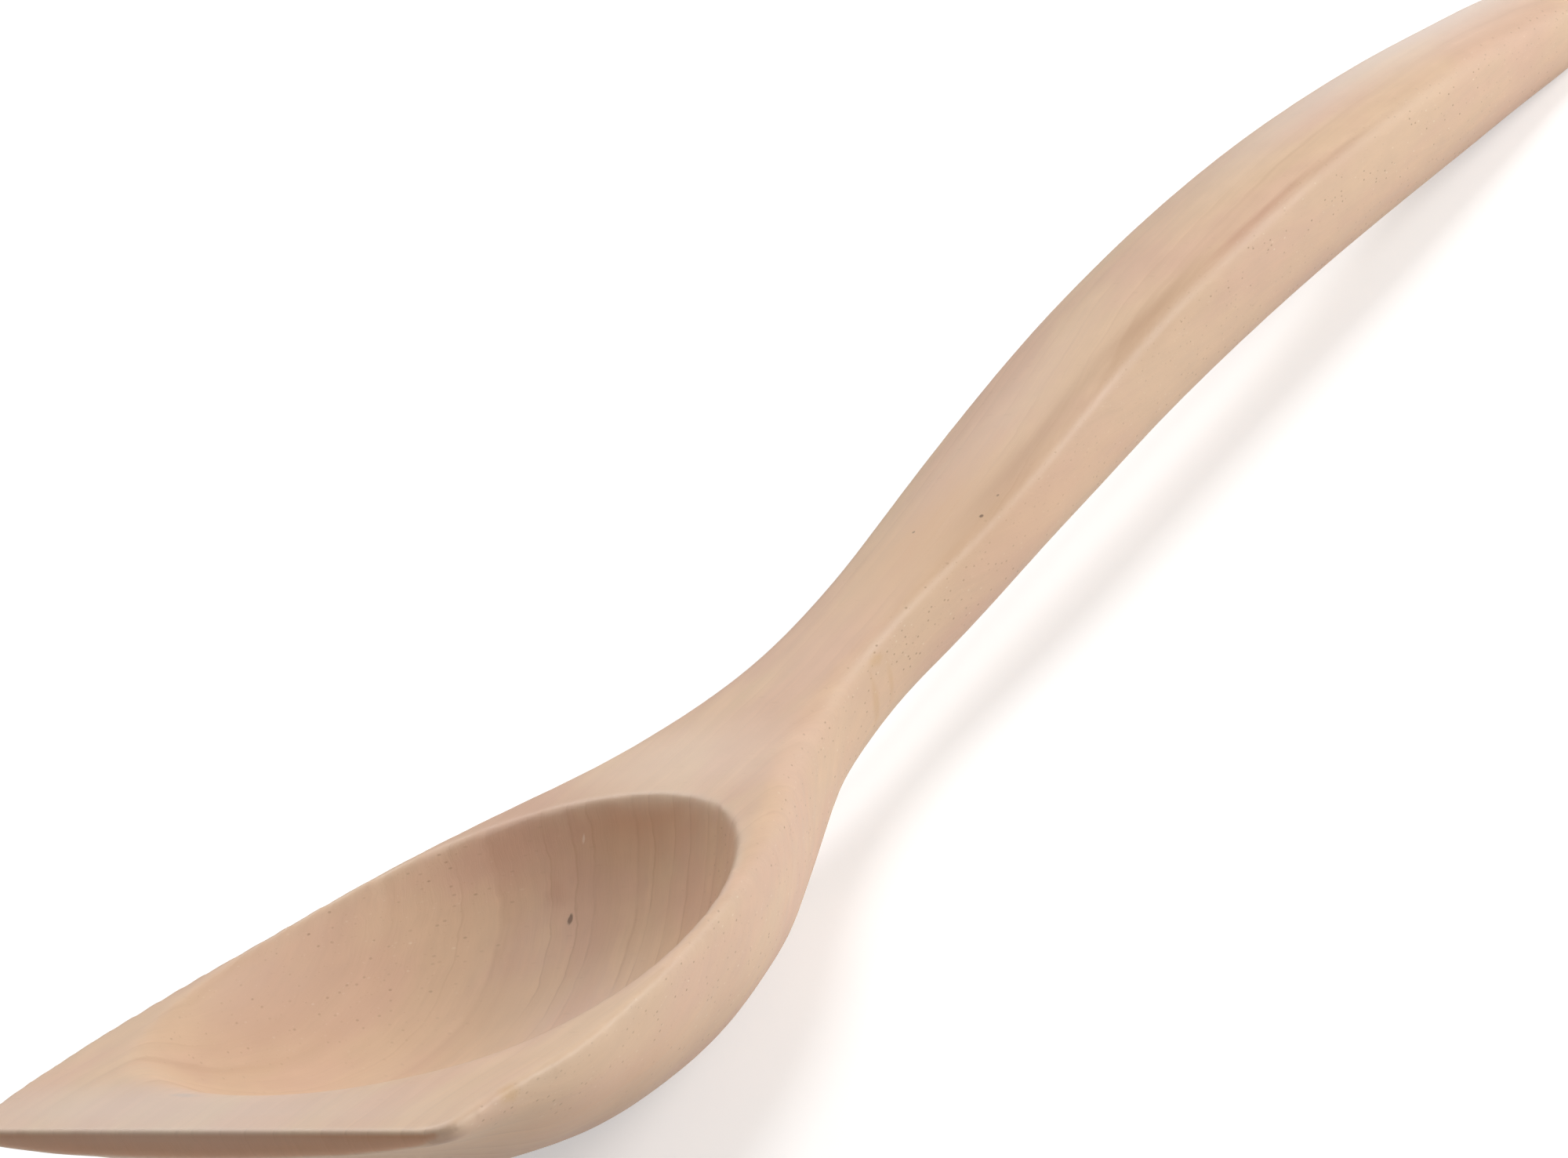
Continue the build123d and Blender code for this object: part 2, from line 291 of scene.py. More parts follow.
def open_group(name, inputs, outputs):
    """A new node group with named sockets, and its two inner ends."""
    group = bpy.data.node_groups.new(name, "ShaderNodeTree")
    for socket, kind, value in inputs:
        made = group.interface.new_socket(name=socket, in_out="INPUT", socket_type=kind)
        if value is not None:
            made.default_value = value
    for socket, kind in outputs:
        group.interface.new_socket(name=socket, in_out="OUTPUT", socket_type=kind)
    entry = group.nodes.new("NodeGroupInput").outputs
    end = group.nodes.new("NodeGroupOutput").inputs
    return group, entry, end


# %% [markdown]
# Growth rings. The spoon is cut so that the tree's yearly layers stand almost upright along it, like
# the leaves of a shut book. On the top faces they show as lines along the grain, on the wall of the
# hollow as upright lines, and on the sides, where the saw met the layers nearly flat, as broad
# flames. A flat picture wrapped round the spoon could not do all three. So the rings are worked out
# for the whole solid block, as the distance from the heart of the tree, and the surface only shows
# where it cuts them. A slow sway bends the layers and a quick small one makes their lines ragged.
# Along each year the wood goes from a thin dark line to pale. All the wood's measures are in
# millimetres, which read more easily here.

# %% The group that lays growth rings through the block
HEART_ACROSS = 150.0
HEART_BELOW = 46.0
SWAY_SPACING = (0.020, 0.045, 0.045)
RAGGED_SPACING = (0.10, 0.55, 0.55)
RAGGED_BY = 0.55
SWAY_NOISE = (1.0, 5.0, 0.55)
RAGGED_NOISE = (1.0, 3.0)
SEASONS = {"Scale": 0.55, "Detail": 1.0}
UNEVENNESS = 1.6
YEAR_CLOSES = (0.95, 1.0)
LATE_RISES = (0.84, 0.95)
BAND_RISES = (0.10, 0.95)

rings, entry, end = open_group(
    "growth_rings",
    [
        ("Place", "NodeSocketVector", None),
        ("Ring Width", "NodeSocketFloat", 3.0),
        ("Sway", "NodeSocketFloat", 4.5),
    ],
    [("Late Wood", "NodeSocketFloat"), ("Band", "NodeSocketFloat"), ("Radius", "NodeSocketFloat")],
)
slow = place(rings, "ShaderNodeVectorMath", {0: entry["Place"], 1: SWAY_SPACING}, operation="MULTIPLY")
sway = reckon(rings, "SUBTRACT", noise(rings, slow.outputs[0], *SWAY_NOISE), 0.5)
axes = place(rings, "ShaderNodeSeparateXYZ", {0: entry["Place"]}).outputs
across = reckon(rings, "SUBTRACT", axes["Y"], HEART_ACROSS)
across = reckon(rings, "MULTIPLY_ADD", sway, entry["Sway"], across)
quick = place(rings, "ShaderNodeVectorMath", {0: entry["Place"], 1: RAGGED_SPACING}, operation="MULTIPLY")
wobble = noise(rings, quick.outputs[0], *RAGGED_NOISE)
across = reckon(rings, "MULTIPLY_ADD", wobble, RAGGED_BY, across)
below = reckon(rings, "ADD", axes["Z"], HEART_BELOW)
squared = reckon(rings, "MULTIPLY_ADD", across, across, reckon(rings, "MULTIPLY", below, below))
radius = reckon(rings, "SQRT", squared)
years = reckon(rings, "DIVIDE", radius, entry["Ring Width"])
season = place(rings, "ShaderNodeTexNoise", {"W": years, **SEASONS}, noise_dimensions="1D")
years = reckon(rings, "MULTIPLY_ADD", season.outputs["Fac"], UNEVENNESS, years)
year = reckon(rings, "SUBTRACT", 1.0, reckon(rings, "FRACT", years))
closing = fade(rings, year, *YEAR_CLOSES, 1.0, 0.0)
late = reckon(rings, "MULTIPLY", fade(rings, year, *LATE_RISES), closing)
band = reckon(rings, "MULTIPLY", fade(rings, year, *BAND_RISES), closing)
rings.links.new(late, end["Late Wood"])
rings.links.new(band, end["Band"])
rings.links.new(radius, end["Radius"])
print("growth rings:", len(rings.nodes), "nodes")

# %% [markdown]
# Fibres. Inside each yearly layer the wood is a bundle of long fibres, and they show as fine streaks
# that follow the rings. Noise that is stretched along the grain gives them, if its narrow direction
# is measured across the rings, so the group is fed with the distance from the heart.

# %% The group that lays fibres along the rings
FIBRE_NOISE = (1.0, 4.0, 0.6)

fibres, entry, end = open_group(
    "fibres",
    [
        ("Place", "NodeSocketVector", None),
        ("Radius", "NodeSocketFloat", None),
        ("Length", "NodeSocketFloat", 45.0),
        ("Width", "NodeSocketFloat", 0.7),
        ("Height", "NodeSocketFloat", 9.0),
    ],
    [("Streak", "NodeSocketFloat")],
)
axes = place(fibres, "ShaderNodeSeparateXYZ", {0: entry["Place"]}).outputs
lengthways = reckon(fibres, "DIVIDE", axes["X"], entry["Length"])
widthways = reckon(fibres, "DIVIDE", entry["Radius"], entry["Width"])
upwards = reckon(fibres, "DIVIDE", axes["Z"], entry["Height"])
lie = place(fibres, "ShaderNodeCombineXYZ", {0: lengthways, 1: widthways, 2: upwards}).outputs[0]
fibres.links.new(noise(fibres, lie, *FIBRE_NOISE), end["Streak"])
print("fibres:", len(fibres.nodes), "nodes")

# %% [markdown]
# Rays. Across the rings run thin ribbons of other cells, the rays. Where a side of the spoon cuts
# them end on, they show as specks and short dashes along the grain, most of them dark and a few
# pale. Cells of a stretched Voronoi texture make such spindles, a random number for each cell picks
# the ones that show, and they fade out where the surface turns away from the rays' direction.

# %% The group that scatters ray flecks
RAY_SPACING = (0.80, 0.30, 1.5)
RAY_THICKNESS = (0.08, 0.22)
SIDEWAYS = (0.35, 0.8)
LEFT_ELSEWHERE = 0.12
PALE_SHARE = 0.5
FAINTEST = 0.35

rays, entry, end = open_group(
    "ray_flecks",
    [("Place", "NodeSocketVector", None), ("Rarity", "NodeSocketFloat", 0.42)],
    [("Dark", "NodeSocketFloat"), ("Pale", "NodeSocketFloat")],
)
stretched = place(rays, "ShaderNodeVectorMath", {0: entry["Place"], 1: RAY_SPACING}, operation="MULTIPLY")
cells = place(rays, "ShaderNodeTexVoronoi", {"Vector": stretched.outputs[0], "Scale": 1.0})
spindle = fade(rays, cells.outputs["Distance"], *RAY_THICKNESS, 1.0, 0.0)
drawn = place(rays, "ShaderNodeSeparateXYZ", {0: cells.outputs["Color"]}).outputs
normal = place(rays, "ShaderNodeNewGeometry").outputs["Normal"]
facing = place(rays, "ShaderNodeSeparateXYZ", {0: normal}).outputs["Y"]
end_on = fade(rays, reckon(rays, "ABSOLUTE", facing), *SIDEWAYS, LEFT_ELSEWHERE, 1.0)
shown = reckon(rays, "MULTIPLY", spindle, end_on)
dark = reckon(rays, "GREATER_THAN", drawn["X"], entry["Rarity"])
pale_share = reckon(rays, "MULTIPLY", reckon(rays, "SUBTRACT", 1.0, entry["Rarity"]), PALE_SHARE)
pale = reckon(rays, "LESS_THAN", drawn["X"], pale_share)
strength = fade(rays, drawn["Y"], 0.0, 1.0, FAINTEST, 1.0)
shown = reckon(rays, "MULTIPLY", shown, strength)
rays.links.new(reckon(rays, "MULTIPLY", shown, dark), end["Dark"])
rays.links.new(reckon(rays, "MULTIPLY", shown, pale), end["Pale"])
print("ray flecks:", len(rays.nodes), "nodes")

# %% [markdown]
# The wood itself. This group joins rings, fibres and rays into the three things that a finish needs:
# a colour, a roughness and a height for the bump. All three zones get it with the same values, so the
# grain runs on across their meetings. Here it is opened and gets its ingredients: three sets of
# fibre streaks from coarse to fine, one slow cloud that turns patches pinker, one quicker cloud that
# mottles them, and two sprinklings of flecks, the second one finer than the first.

# %% Open the wood group and gather its ingredients
STREAK_SIZES = {"coarse": (60.0, 1.6, 14.0), "middle": (30.0, 0.45, 7.0), "fine": (9.0, 0.14, 2.5)}
FLAME_SPACING = (0.030, 0.10, 0.10)
FLAME_NOISE = (1.0, 3.0, 0.55)
PINK_FROM = (0.38, 0.64)
MOTTLE_SPACING = (0.16, 0.42, 0.42)
DUST_FINENESS = 1.9

wood, entry, end = open_group(
    "pale_wood",
    [("Place", "NodeSocketVector", None), ("Worn", "NodeSocketFloat", 0.0)],
    [("Color", "NodeSocketColor"), ("Roughness", "NodeSocketFloat"), ("Height", "NodeSocketFloat")],
)
spot, worn_here = entry["Place"], entry["Worn"]
grown = place(wood, "ShaderNodeGroup", {"Place": spot}, node_tree=rings).outputs
late, band, radius = grown["Late Wood"], grown["Band"], grown["Radius"]


def streaks(length, width, height):
    """One set of fibre streaks in the wood, centred on zero."""
    feeds = {"Place": spot, "Radius": radius, "Length": length, "Width": width, "Height": height}
    laid = place(wood, "ShaderNodeGroup", feeds, node_tree=fibres)
    return reckon(wood, "SUBTRACT", laid.outputs["Streak"], 0.5)


coarse, middle, fine = (streaks(*sizes) for sizes in STREAK_SIZES.values())
flame = place(wood, "ShaderNodeVectorMath", {0: spot, 1: FLAME_SPACING}, operation="MULTIPLY")
pinker = fade(wood, noise(wood, flame.outputs[0], *FLAME_NOISE), *PINK_FROM)
mottle = place(wood, "ShaderNodeVectorMath", {0: spot, 1: MOTTLE_SPACING}, operation="MULTIPLY")
mottled = reckon(wood, "SUBTRACT", noise(wood, mottle.outputs[0], 1.0), 0.5)
flecks = place(wood, "ShaderNodeGroup", {"Place": spot}, node_tree=rays).outputs
finer = place(wood, "ShaderNodeVectorMath", {0: spot, "Scale": DUST_FINENESS}, operation="SCALE")
dust = place(wood, "ShaderNodeGroup", {"Place": finer.outputs[0]}, node_tree=rays).outputs
print("wood, opened:", len(wood.nodes), "nodes")

# %% [markdown]
# How the cut lies in the wood. The same ring looks different on each face. It shows most where the
# surface cuts across the fibres, as in the wall of the hollow, and least along them and on the
# sides. Wood that is cut nearly square across its fibres is also warmer and deeper in colour. On the
# front edge, which faces down and forward, that deeper amber is partly end grain and partly painted
# shade. All this comes from which way the surface faces in the block, never from where the camera
# stands.

# %% Read how each face cuts the grain
ALONG_GRAIN = tuple(along)
CUT_ACROSS = (0.10, 0.45)
CUT_FLAT = (0.40, 0.80)
LEFT_OF_RINGS = 0.35
END_FACING = (0.72, 0.99)

outward = place(wood, "ShaderNodeNewGeometry").outputs["Normal"]
facing = place(wood, "ShaderNodeVectorMath", {0: outward, 1: ALONG_GRAIN}, operation="DOT_PRODUCT")
facing = reckon(wood, "ABSOLUTE", facing.outputs["Value"])
cut = fade(wood, facing, *CUT_ACROSS, LEFT_OF_RINGS, 1.0)
sideways = place(wood, "ShaderNodeSeparateXYZ", {0: outward}).outputs["Y"]
flat = fade(wood, reckon(wood, "ABSOLUTE", sideways), *CUT_FLAT, 1.0, LEFT_OF_RINGS)
# Faces cut square across the fibres get a deeper amber: end grain, and on the front edge partly painted
# shade.
end_grain_and_shade = fade(wood, facing, *END_FACING)
print("faces cut square across the fibres are warmer from", END_FACING[0], "on")

# %% [markdown]
# The wood's colour, layer on layer like thin glazes: cream and pink first, then the bands of the
# rings, the flecks, the tint of the edges and the end grain. The edges are paler on the bowl, which
# is partly rubbed wear and partly a painted highlight along the rim. They are browner along the
# handle, which is partly wear and partly painted shade on its ridges. Last, streaks and mottle make
# the whole a little lighter and darker from place to place.

# %% Colour the wood
CREAM = (0.742, 0.522, 0.354, 1.0)
PINK = (0.722, 0.482, 0.346, 1.0)
BAND_BROWN = (0.560, 0.345, 0.225, 1.0)
LATE_BROWN = (0.430, 0.240, 0.140, 1.0)
RAY_BROWN = (0.270, 0.150, 0.085, 1.0)
RAY_PALE = (0.900, 0.760, 0.600, 1.0)
# The pale edge tint is partly rubbed wear and partly a painted highlight on the bowl's rim. The brown one
# is partly wear and partly painted shade on the handle's ridges.
RIM_WEAR_AND_HIGHLIGHT_PALE = (0.800, 0.640, 0.500, 1.0)
RIDGE_WEAR_AND_SHADE_BROWN = (0.600, 0.395, 0.265, 1.0)
# Deeper amber for end grain, which on the front edge is partly painted shade.
END_GRAIN_AND_SHADE_AMBER = (0.740, 0.365, 0.200, 1.0)
BROKEN_FROM = (-0.25, 0.15, 0.25, 1.0)
BAND_STRENGTH = 0.20
LATE_STRENGTH = 0.22
EDGE_TINT_CHANGES = (85.0, 145.0)
EDGE_TINT_STRENGTH = (0.25, 0.55)
END_GRAIN_AND_SHADE_STRENGTH = 0.75
LIGHTER_DARKER = ((coarse, 0.07), (middle, 0.09), (mottled, 0.14), (fine, 0.06))

broken = fade(wood, reckon(wood, "ADD", coarse, mottled), *BROKEN_FROM)
broken = reckon(wood, "MULTIPLY", reckon(wood, "MULTIPLY", broken, cut), flat)
lengthways = place(wood, "ShaderNodeSeparateXYZ", {0: spot}).outputs["X"]
# The edge tint: rubbed wear, with a painted highlight on the bowl and painted shade on the handle.
edge_wear_and_light_tint = tint(wood, fade(wood, lengthways, *EDGE_TINT_CHANGES), RIM_WEAR_AND_HIGHLIGHT_PALE, RIDGE_WEAR_AND_SHADE_BROWN)
edge_wear_and_light_amount = fade(wood, lengthways, *EDGE_TINT_CHANGES, *EDGE_TINT_STRENGTH)
glazes = (
    (reckon(wood, "MULTIPLY", band, BAND_STRENGTH), broken, BAND_BROWN),
    (reckon(wood, "MULTIPLY", late, LATE_STRENGTH), broken, LATE_BROWN),
    (dust["Dark"], 0.45, BAND_BROWN),
    (dust["Pale"], 0.30, RAY_PALE),
    (flecks["Dark"], 0.52, RAY_BROWN),
    (flecks["Pale"], 0.45, RAY_PALE),
    (worn_here, edge_wear_and_light_amount, edge_wear_and_light_tint),
    (end_grain_and_shade, END_GRAIN_AND_SHADE_STRENGTH, END_GRAIN_AND_SHADE_AMBER),
)
colour = tint(wood, pinker, CREAM, PINK)
for pattern, amount, ink in glazes:
    colour = tint(wood, reckon(wood, "MULTIPLY", pattern, amount), colour, ink)
level = 1.0
for pattern, amount in LIGHTER_DARKER:
    level = reckon(wood, "MULTIPLY_ADD", pattern, amount, level)
shaded = place(wood, "ShaderNodeVectorMath", {0: colour, "Scale": level}, operation="SCALE")
wood.links.new(shaded.outputs[0], end["Color"])
print("glazes of colour:", 1 + len(glazes))

# %% [markdown]
# The wood's feel. Sanded wood without varnish is matt, and its fibres catch the light unevenly. So
# the roughness starts in the middle and each pattern moves it a little, and the same patterns give
# the height: fibres stand up, flecks are small pits, and rings are barely felt.

# %% Give the wood its roughness and its height
MATTNESS = 0.50
ROUGHER = ((middle, 0.22), (mottled, 0.12), (late, -0.05), (flecks["Dark"], 0.15), (worn_here, -0.08))
HIGHER = ((fine, 0.55), (late, 0.06), (flecks["Dark"], -0.5), (mottled, 0.35))
MIDDLE_HEIGHT = 0.8

rough = MATTNESS
for pattern, amount in ROUGHER:
    rough = reckon(wood, "MULTIPLY_ADD", pattern, amount, rough)
wood.links.new(rough, end["Roughness"])
height = reckon(wood, "MULTIPLY", middle, MIDDLE_HEIGHT)
for pattern, amount in HIGHER:
    height = reckon(wood, "MULTIPLY_ADD", pattern, amount, height)
wood.links.new(height, end["Height"])
print("wood, finished:", len(wood.nodes), "nodes")

# %% [markdown]
# Marks that sit in one place. A real spoon has a few: a dark fleck on the wall of the hollow,
# pin-sized dots on the handle and a faint grey smear on the front land. The long brown streak beside
# the handle's ridge is partly a streak in the wood and mostly painted shade. This group gives a soft
# mask round one point, with its own three radii and a ragged rim from a little noise, so one group
# makes a dot as well as a streak.

# %% The group that makes one mark
RIM_NOISE = (1.6, 3.0)

mark, entry, end = open_group(
    "small_mark",
    [
        ("Place", "NodeSocketVector", None),
        ("Centre", "NodeSocketVector", None),
        ("Radii", "NodeSocketVector", None),
        ("Ragged", "NodeSocketFloat", 0.35),
        ("Softness", "NodeSocketFloat", 0.4),
    ],
    [("Mask", "NodeSocketFloat")],
)
offset = place(mark, "ShaderNodeVectorMath", {0: entry["Place"], 1: entry["Centre"]}, operation="SUBTRACT")
sized = place(mark, "ShaderNodeVectorMath", {0: offset.outputs[0], 1: entry["Radii"]}, operation="DIVIDE")
length = place(mark, "ShaderNodeVectorMath", {0: sized.outputs[0]}, operation="LENGTH").outputs["Value"]
rag = reckon(mark, "SUBTRACT", noise(mark, sized.outputs[0], *RIM_NOISE), 0.5)
length = reckon(mark, "MULTIPLY_ADD", rag, entry["Ragged"], length)
start = reckon(mark, "SUBTRACT", 1.0, entry["Softness"])
mark.links.new(fade(mark, length, start, 1.0, 1.0, 0.0), end["Mask"])
print("mark:", len(mark.nodes), "nodes")

# %% [markdown]
# Where the marks are. Each mark is a row: where it is on the spoon, how far it reaches each way, how
# ragged and how soft its rim is, how strong it is, and its colour. The small ones are marks that can
# be seen in the wood. The broad ones were set by comparing tones, to bring the finished picture near
# the photograph, and they are painted light and shade. Painted shade lies in the hollow, on its back
# wall, at the right front corner, at the start of the handle and beside the handle's ridge, where a
# little of a real streak lies too. Painted light and sheen lie on the front land, the shoulder, the
# belly, the right side of the neck and handle, and the far end of the handle. They lie on the spoon
# and not on the picture, so they stay in place from every side.
# A mark that crosses a meeting is given to both zones.

# %% Lay out the marks of each zone
NEARLY_BLACK = (0.130, 0.075, 0.050, 1.0)
SHADE_BROWN = (0.520, 0.320, 0.200, 1.0)
OCHRE = (0.640, 0.400, 0.190, 1.0)
# The colour of the painted shade at the right front corner.
CORNER_SHADE_BROWN = (0.340, 0.190, 0.120, 1.0)
REDDISH = (0.480, 0.240, 0.160, 1.0)
SMEAR_GREY = (0.520, 0.470, 0.440, 1.0)
PALE_CREAM = (0.900, 0.730, 0.600, 1.0)
# The pale colour of the painted light at the far end of the handle.
END_LIGHT_CREAM = (0.930, 0.800, 0.710, 1.0)
GREY_CREAM = (0.740, 0.640, 0.570, 1.0)
WARM_CREAM = (0.690, 0.435, 0.260, 1.0)
WARM_LIGHT = (0.830, 0.540, 0.350, 1.0)

DARK_FLECK = ((69.8, 7.0, -9.3), (0.9, 0.32, 0.75), 0.5, 0.5, 0.75, NEARLY_BLACK)
PALE_TICK = ((75.9, 7.2, -2.7), (0.6, 0.18, 0.8), 0.3, 0.6, 0.5, PALE_CREAM)
RED_PATCH = ((71.3, 9.1, -7.0), (2.4, 2.0, 2.6), 0.8, 0.9, 0.22, REDDISH)
LAND_SMEAR = ((8.45, 8.0, 0.7), (1.0, 2.8, 2.0), 0.8, 0.9, 0.40, SMEAR_GREY)
# Painted shade: the right front corner made darker brown, where the front face turns into the side.
PAINTED_SHADE_CORNER = ((1.5, -29.8, -0.9), (3.4, 3.2, 2.3), 0.5, 1.0, 0.62, CORNER_SHADE_BROWN)
CORNER_PATCH = ((9.7, -31.9, 0.1), (2.0, 1.4, 1.4), 0.6, 0.8, 0.45, OCHRE)
# Painted sheen: a paler, greyer cream over the front land.
PAINTED_SHEEN_LAND = ((5.0, 8.0, 1.0), (10.0, 42.0, 3.0), 0.4, 0.9, 0.40, GREY_CREAM)
# Painted light: the top of the shoulder made paler.
PAINTED_LIGHT_SHOULDER = ((86.0, 0.0, 1.0), (17.0, 22.0, 5.0), 0.4, 0.9, 0.32, PALE_CREAM)
PIN_DOTS = [
    ((141.3, -6.9, 6.7), (0.40, 0.28, 0.4), 0.3, 0.5, 0.75, NEARLY_BLACK),
    ((137.3, -0.1, 6.8), (0.30, 0.22, 0.3), 0.3, 0.5, 0.60, NEARLY_BLACK),
    ((145.4, -6.9, 7.5), (0.30, 0.20, 0.3), 0.3, 0.5, 0.50, NEARLY_BLACK),
]
FLAME_LINES = [
    ((114.5, -7.5, 0.6), (2.2, 2.0, 1.0), 0.8, 0.8, 0.40, OCHRE),
    ((112.6, -7.3, -4.0), (1.2, 2.0, 4.6), 0.9, 0.8, 0.38, OCHRE),
    ((116.5, -7.3, -3.2), (0.8, 2.0, 4.2), 0.9, 0.8, 0.30, OCHRE),
]
# Painted shade: darker brown in the hollow and on its back wall.
SHADED_HOLLOW = ((40.0, 20.0, -6.0), (34.0, 26.0, 11.0), 0.3, 1.0, 0.46, SHADE_BROWN)
SHADED_WALL = ((73.0, 10.0, -1.0), (20.0, 22.0, 9.0), 0.4, 1.0, 0.34, REDDISH)
# Painted light: the belly made lighter and warmer, as by light thrown up from below.
PAINTED_LIGHT_BELLY = ((25.0, -30.0, -9.0), (32.0, 10.0, 8.0), 0.3, 1.0, 0.50, WARM_LIGHT)
# Painted shade: the forward-facing top of the neck and the start of the handle made darker and warmer.
PAINTED_SHADE_HANDLE_START = ((138.0, -2.0, 6.5), (38.0, 9.0, 8.0), 0.3, 1.0, 0.70, WARM_CREAM)
# Painted light: the right side of the neck and handle made lighter and warmer.
PAINTED_LIGHT_SIDE = ((150.0, -9.5, 3.0), (42.0, 4.0, 8.0), 0.3, 1.0, 0.35, WARM_LIGHT)
# Mostly painted shade, with a little of a real streak in the wood: a darker band beside the handle's
# ridge, where the top turns between the lamps.
LOW_STREAK_AND_SHADE = ((150.0, -6.6, 9.0), (38.0, 3.0, 9.0), 0.6, 1.0, 0.50, SHADE_BROWN)
MIDDLE_STREAK_AND_SHADE = ((182.0, -7.9, 14.5), (32.0, 2.8, 6.0), 0.8, 1.0, 0.62, SHADE_BROWN)
DARK_STREAK_AND_SHADE = ((206.0, -9.0, 17.3), (27.0, 1.1, 5.0), 0.9, 0.9, 0.42, REDDISH)
HIGH_STREAK_AND_SHADE = ((226.0, -9.5, 18.2), (24.0, 1.4, 4.0), 0.6, 1.0, 0.36, SHADE_BROWN)
# Painted light and sheen: the far end of the handle's top made paler.
PAINTED_LIGHT_END = ((278.0, 2.0, 19.0), (84.0, 11.0, 10.0), 0.2, 1.0, 0.70, END_LIGHT_CREAM)
MARKS = {
    "bowl": [
        PAINTED_SHEEN_LAND, PAINTED_LIGHT_SHOULDER, SHADED_HOLLOW, SHADED_WALL, PAINTED_LIGHT_BELLY, PAINTED_SHADE_HANDLE_START,
        DARK_FLECK, PALE_TICK, RED_PATCH, LAND_SMEAR, PAINTED_SHADE_CORNER, CORNER_PATCH,
    ],
    "neck": [PAINTED_LIGHT_SHOULDER, PAINTED_SHADE_HANDLE_START, PAINTED_LIGHT_SIDE, LOW_STREAK_AND_SHADE] + PIN_DOTS + FLAME_LINES,
    "handle": [PAINTED_SHADE_HANDLE_START, PAINTED_LIGHT_SIDE, LOW_STREAK_AND_SHADE, MIDDLE_STREAK_AND_SHADE, DARK_STREAK_AND_SHADE, HIGH_STREAK_AND_SHADE, PAINTED_LIGHT_END],
}

print("marks:", {zone: len(rows) for zone, rows in MARKS.items()})

# %% [markdown]
# The three finishes. Each zone has a finish of its own, because each carries its own marks, but all
# three put the same wood in the same block. The pattern reads the object's own coordinates, which a
# Mapping node turns into millimetres along, across and above the leaning blank. A matt surface
# without varnish needs only a soft shine, and a Bump node turns the wood's height into felt grain.

# %% Make the three finishes
ORIGIN_ON_SPOON = (155.49, 0.0, -11.23)
TO_MILLIMETRES = (1000.0, 1000.0, 1000.0)
GRAIN_DEPTH = 0.00003
SHINE = 0.4


def wooden_finish(zone):
    """The finish of one zone: the shared wood with the marks that this zone carries."""
    finish = bpy.data.materials.new("carved_" + zone)
    finish.use_nodes = True
    tree = finish.node_tree
    shader = tree.nodes["Principled BSDF"]
    own = place(tree, "ShaderNodeTexCoord").outputs["Object"]
    lean_back = {"Vector": own, "Location": ORIGIN_ON_SPOON, "Rotation": (0.0, -LEAN, 0.0)}
    turned = place(tree, "ShaderNodeMapping", {**lean_back, "Scale": TO_MILLIMETRES}).outputs[0]
    worn_value = place(tree, "ShaderNodeAttribute", attribute_name="worn").outputs["Fac"]
    body = place(tree, "ShaderNodeGroup", {"Place": turned, "Worn": worn_value}, node_tree=wood).outputs
    colour = body["Color"]
    for centre, radii, ragged, softness, amount, ink in MARKS[zone]:
        shape = {"Centre": centre, "Radii": radii, "Ragged": ragged, "Softness": softness}
        mask = place(tree, "ShaderNodeGroup", {"Place": turned, **shape}, node_tree=mark).outputs["Mask"]
        colour = tint(tree, reckon(tree, "MULTIPLY", mask, amount), colour, ink)
    feel = {"Strength": 1.0, "Distance": GRAIN_DEPTH, "Height": body["Height"]}
    tree.links.new(colour, shader.inputs["Base Color"])
    tree.links.new(body["Roughness"], shader.inputs["Roughness"])
    tree.links.new(place(tree, "ShaderNodeBump", feel).outputs[0], shader.inputs["Normal"])
    shader.inputs["Specular IOR Level"].default_value = SHINE
    return finish


for zone, piece in pieces.items():
    piece.data.materials.append(wooden_finish(zone))
print("finishes:", [piece.data.materials[0].name for piece in pieces.values()])

# %% [markdown]
# The floor. The spoon lies on a plain pale sheet. As an ordinary matt surface it sends light back
# up under the spoon, and still leaves the underside darker than the top, as in the picture. For the
# camera the sheet also glows, which carries it to white and leaves the soft shadow visible. A glow
# that only the camera and clear or shiny things see puts no more light on the spoon.

# %% Lay the pale sheet
SHEET_SIZE = 6.0
SHEET_PALENESS = 0.8
SHEET_GLOW = 0.45

sheet_form = bmesh.new()
bmesh.ops.create_grid(sheet_form, x_segments=1, y_segments=1, size=SHEET_SIZE / 2)
sheet_mesh = bpy.data.meshes.new("sheet")
sheet_form.to_mesh(sheet_mesh)
sheet_form.free()
sheet = bpy.data.objects.new("sheet", sheet_mesh)
bpy.context.scene.collection.objects.link(sheet)

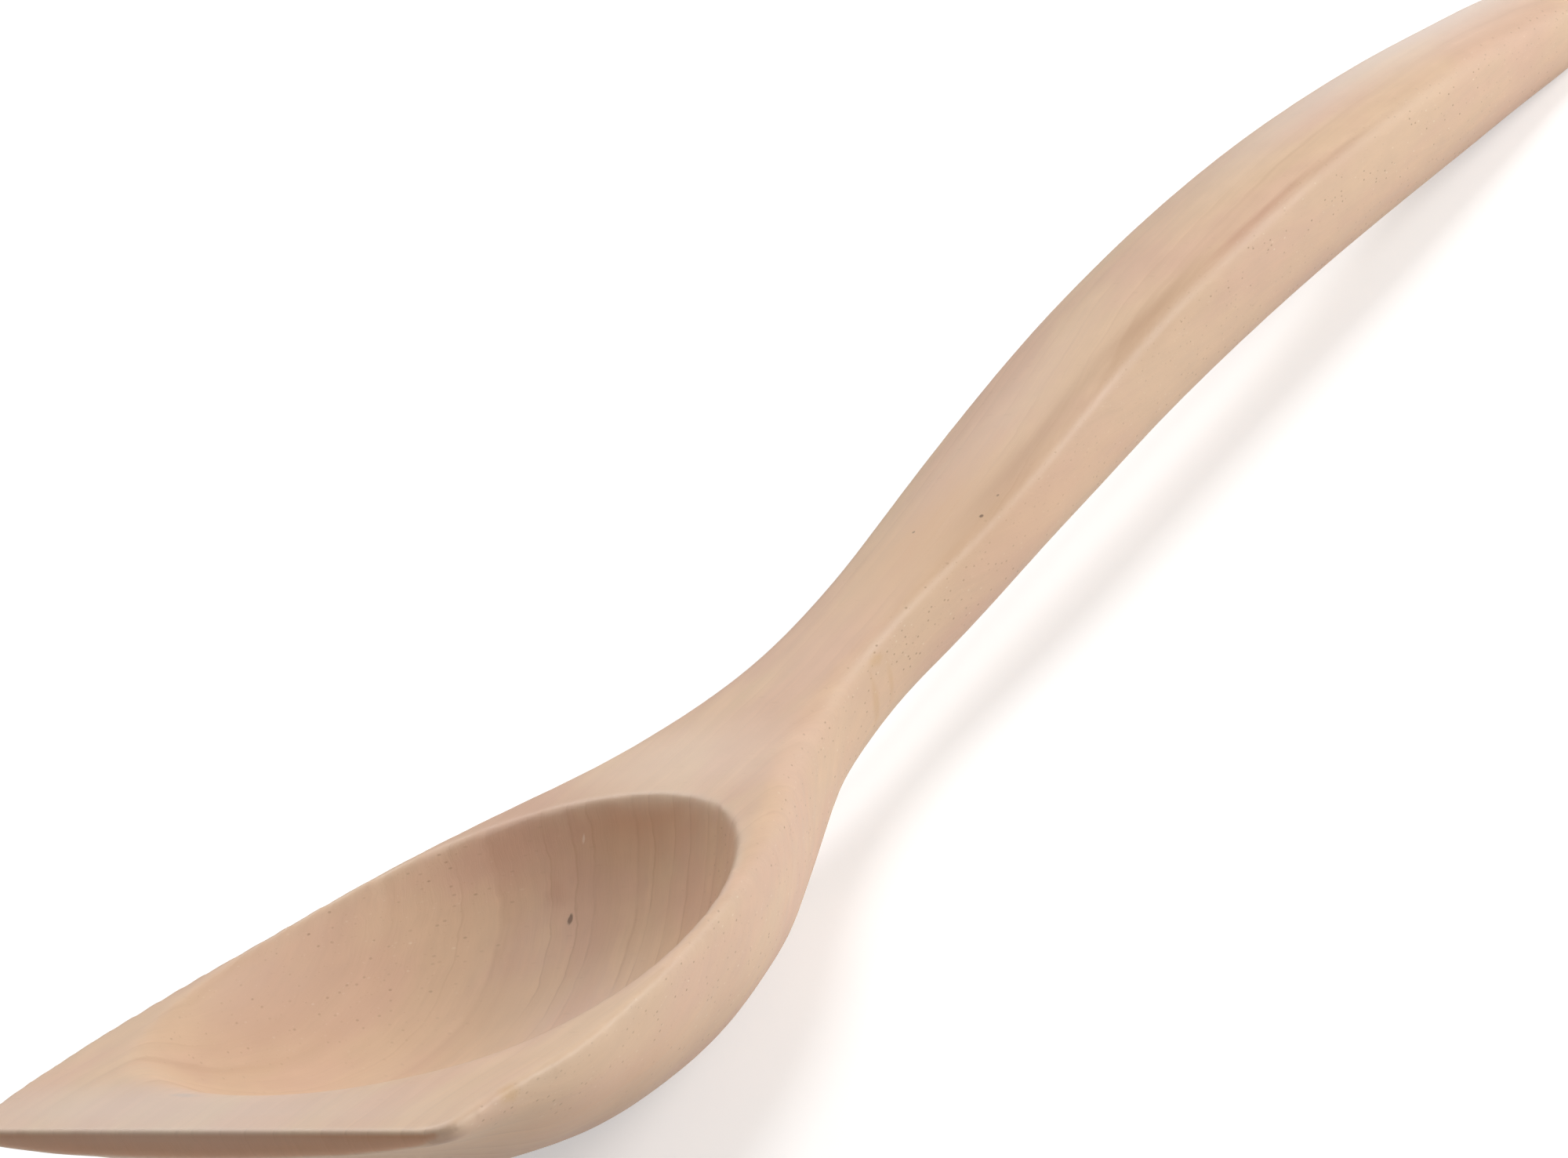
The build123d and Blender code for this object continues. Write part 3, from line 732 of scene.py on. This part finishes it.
paper = bpy.data.materials.new("pale_paper")
paper.use_nodes = True
tree = paper.node_tree
tree.nodes.clear()
matt = place(tree, "ShaderNodeBsdfDiffuse")
matt.inputs["Color"].default_value = (SHEET_PALENESS, SHEET_PALENESS, SHEET_PALENESS, 1.0)
ray = place(tree, "ShaderNodeLightPath").outputs
seen = reckon(tree, "MAXIMUM", ray["Is Camera Ray"], ray["Is Glossy Ray"])
seen = reckon(tree, "MAXIMUM", seen, ray["Is Transmission Ray"])
glow = place(tree, "ShaderNodeEmission", {"Strength": reckon(tree, "MULTIPLY", seen, SHEET_GLOW)})
both = place(tree, "ShaderNodeAddShader", {0: matt.outputs[0], 1: glow.outputs[0]})
place(tree, "ShaderNodeOutputMaterial", {"Surface": both.outputs[0]})
sheet_mesh.materials.append(paper)
print("sheet:", SHEET_SIZE, "m square")

# %% [markdown]
# The light. The top faces and the right side of the spoon are nearly equally bright, the faces that
# look towards the camera are darker, and the hollow keeps a soft brown shade at its back. So there
# is a soft box overhead, one high behind on the left, a strong one behind on the right and a weak
# one low on the right, with next to nothing in front. Their powers were first found by rendering the
# plain spoon under each of a dozen boxes alone and weighing those pictures against the photograph.
# The boxes that counted were then merged into these four, and their powers trimmed.

# %% Hang the soft boxes
AROUND = 0.10
WHITE = (1.0, 1.0, 1.0, 1.0)
BOX_SIZE = 0.6
MIDDLE = (0.0, 0.0, 0.015)
BOXES = {
    "box_above": ((0.00, 0.00, 1.45), 6.6),
    "box_behind_left": ((0.60, 0.80, 1.00), 7.6),
    "box_behind_right": ((0.95, -0.85, 0.50), 9.0),
    "box_right": ((0.10, -1.25, 0.50), 4.2),
}

for name, (standing, power) in BOXES.items():
    lamp = bpy.data.lights.new(name, "AREA")
    lamp.shape = "SQUARE"
    lamp.size = BOX_SIZE
    lamp.energy = power
    holder = bpy.data.objects.new(name, lamp)
    holder.location = standing
    holder.rotation_euler = (Vector(MIDDLE) - Vector(standing)).to_track_quat("-Z", "Y").to_euler()
    bpy.context.scene.collection.objects.link(holder)

world = bpy.data.worlds.new("room")
bpy.context.scene.world = world
world.use_nodes = True
background = world.node_tree.nodes["Background"].inputs
background["Color"].default_value = WHITE
background["Strength"].default_value = AROUND

# %% [markdown]
# Last, the picture's plain settings. Sanding takes very little wood away, so the finished spoon
# should keep the size of its frame to a fraction of a millimetre.

# %% Set the view
bpy.context.scene.view_settings.view_transform = "Standard"
